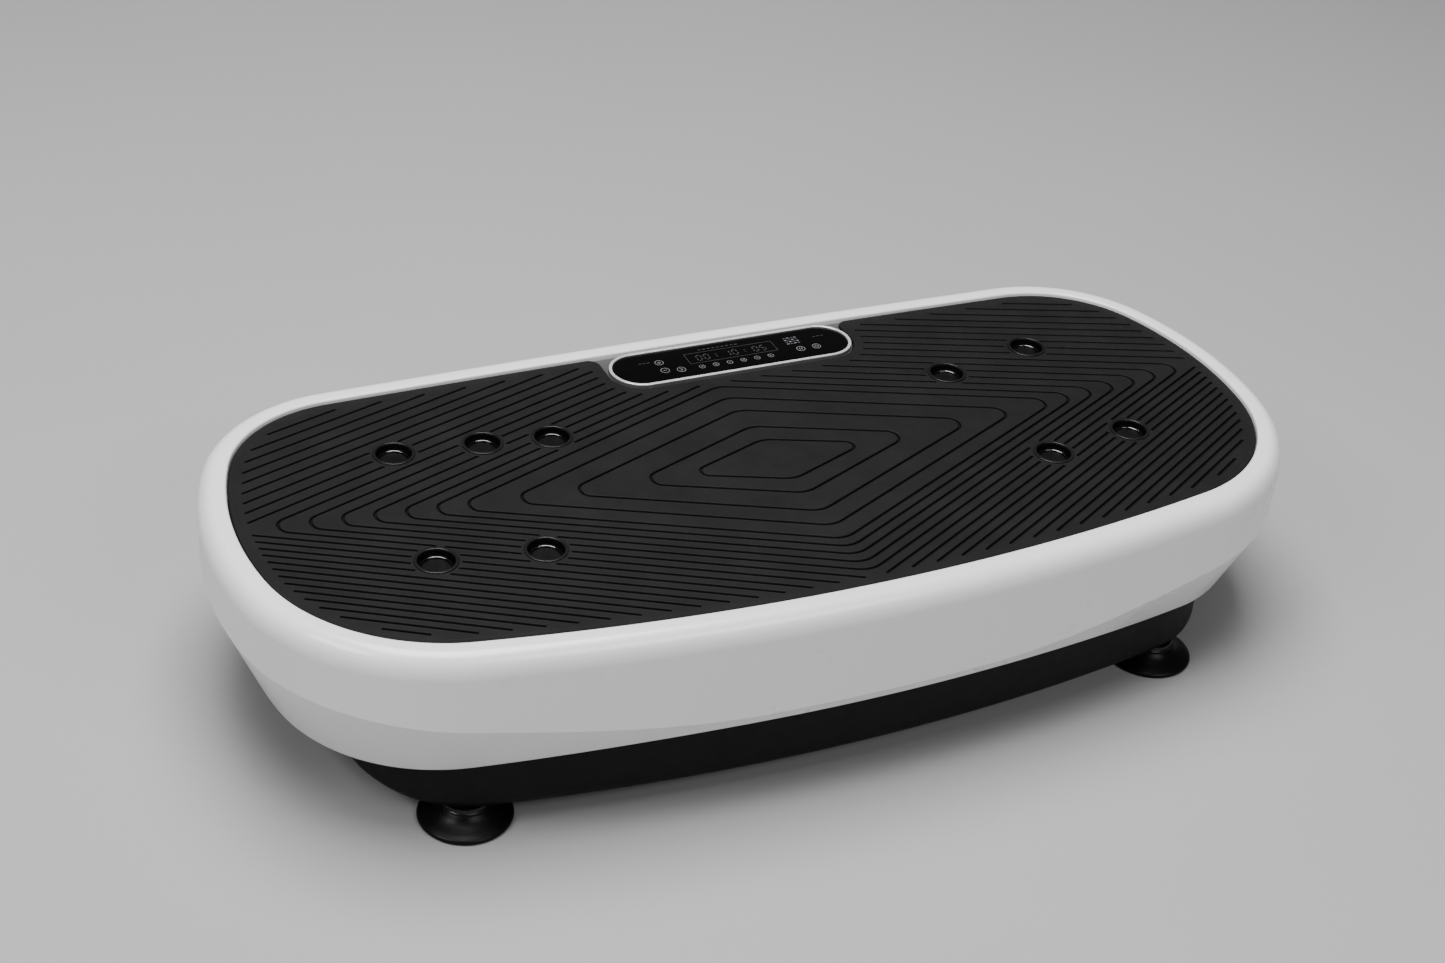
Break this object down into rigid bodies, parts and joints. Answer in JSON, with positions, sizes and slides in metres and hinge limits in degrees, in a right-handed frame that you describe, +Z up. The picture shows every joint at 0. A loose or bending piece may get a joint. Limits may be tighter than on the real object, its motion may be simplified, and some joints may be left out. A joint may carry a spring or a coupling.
{
  "type": "vibration plate",
  "caption": "Rocking vibration plate: a grooved tread in a white rimmed shell on a black base, driven from side to side by a motor, belt and eccentric crank, on suction feet.",
  "frame": {"origin": "on the floor, under the middle of the plate", "axes": "+X along the plate's length, +Y towards the control panel, +Z up"},
  "size_m": [0.714, 0.329, 0.142],
  "materials": {
    "tread_rubber": "matt moulded rubber with fine grain",
    "shell_white": "semi-gloss white ABS",
    "black_steel": "black powder coat",
    "zinc_steel": "zinc plated",
    "bearing_steel": "ground",
    "ground_steel": "ground",
    "bush_rubber": "matt",
    "panel_grey": "fine texture",
    "bezel_silver": "satin plated",
    "lens_black": "high gloss",
    "black_abs": "fine texture",
    "circuit_board": "solder mask",
    "lead_black": "soft jacket",
    "cup_black": "satin",
    "magnet_black": "coated",
    "tub_black": "fine texture",
    "motor_steel": "drawn can",
    "plain_aluminium": "as cast",
    "pin_nickel": "plated",
    "foot_rubber": "satin rubber",
    "collar_black": "gloss",
    "copper_winding": "enamelled wire",
    "rocker_black": "satin"
  },
  "bodies": {
    "base": {"base_tub": "tub_black", "chassis": "zinc_steel", "pivot_axle": "ground_steel", "axle_bracket_front": "black_steel", "axle_bracket_rear": "black_steel", "axle_clips": "ground_steel", "crank_block_front": "black_steel", "crank_block_rear": "black_steel", "crank_bearings": "bearing_steel", "drive_belt": "bush_rubber", "motor_can": "motor_steel", "motor_end_cap": "black_abs", "motor_bearings": "bearing_steel", "motor_bracket": "black_steel", "driver_board": "circuit_board", "heat_sink": "plain_aluminium", "power_inlet": "black_abs", "inlet_pins": "pin_nickel", "switch_body": "black_abs", "foot_front_left": "foot_rubber", "foot_front_right": "foot_rubber", "foot_rear_left": "foot_rubber", "foot_rear_right": "foot_rubber", "foot_collars": "collar_black", "foot_bolts": "zinc_steel", "base_screws": "zinc_steel"},
    "platform": {"tread_mat": "tread_rubber", "top_shell": "shell_white", "deck_plate": "black_steel", "deck_frame": "black_steel", "pivot_bearings": "bearing_steel", "rod_pins": "ground_steel", "rod_bushes": "bush_rubber", "panel_surround": "panel_grey", "panel_bezel": "bezel_silver", "panel_lens": "lens_black", "panel_tray": "black_abs", "display_board": "circuit_board", "display_lead": "lead_black", "platform_screws": "zinc_steel", "magnet_cup_1": "cup_black", "magnet_cup_2": "cup_black", "magnet_cup_3": "cup_black", "magnet_cup_4": "cup_black", "magnet_cup_5": "cup_black", "magnet_cup_6": "cup_black", "magnet_cup_7": "cup_black", "magnet_cup_8": "cup_black", "magnet_cup_9": "cup_black", "magnets": "magnet_black"},
    "crank": {"crank_shaft": "ground_steel", "driven_pulley": "plain_aluminium"},
    "front_rod": {"rod_front": "plain_aluminium", "rod_bearing_front": "bearing_steel"},
    "rear_rod": {"rod_rear": "plain_aluminium", "rod_bearing_rear": "bearing_steel"},
    "rotor": {"motor_shaft": "ground_steel", "rotor_core": "copper_winding", "drive_pulley": "plain_aluminium"},
    "rocker": {"switch_rocker": "rocker_black"}
  },
  "joints": [
    {"name": "platform_rock", "type": "hinge", "parent": "base", "child": "platform", "pos_m": [0, 0, 0.086], "axis": [0, 1, 0], "range_deg": [-0.85, 0.85], "stiffness_Nm_per_rad": 400, "deforming": ["rod_bushes", "display_lead"]},
    {"name": "crank_spin", "type": "hinge", "parent": "base", "child": "crank", "pos_m": [0.11, 0, 0.07], "axis": [0, 1, 0], "continuous": true},
    {"name": "front_rod_turn", "type": "hinge", "parent": "crank", "child": "front_rod", "pos_m": [0.1115, -0.0745, 0.07], "axis": [0, 1, 0], "continuous": true},
    {"name": "rear_rod_turn", "type": "hinge", "parent": "crank", "child": "rear_rod", "pos_m": [0.1115, 0.0745, 0.07], "axis": [0, 1, 0], "continuous": true},
    {"name": "motor_spin", "type": "hinge", "parent": "base", "child": "rotor", "pos_m": [0.215, 0, 0.076], "axis": [0, 1, 0], "continuous": true},
    {"name": "switch_tilt", "type": "hinge", "parent": "base", "child": "rocker", "pos_m": [0.015, 0.1412, 0.044], "axis": [0, 0, 1], "range_deg": [0, 16]}
  ],
  "couplings": [
    {"joint": "front_rod_turn", "follows": "crank_spin", "ratio": -1},
    {"joint": "rear_rod_turn", "follows": "crank_spin", "ratio": -1},
    {"joint": "motor_spin", "follows": "crank_spin", "ratio": 2.5}
  ]
}
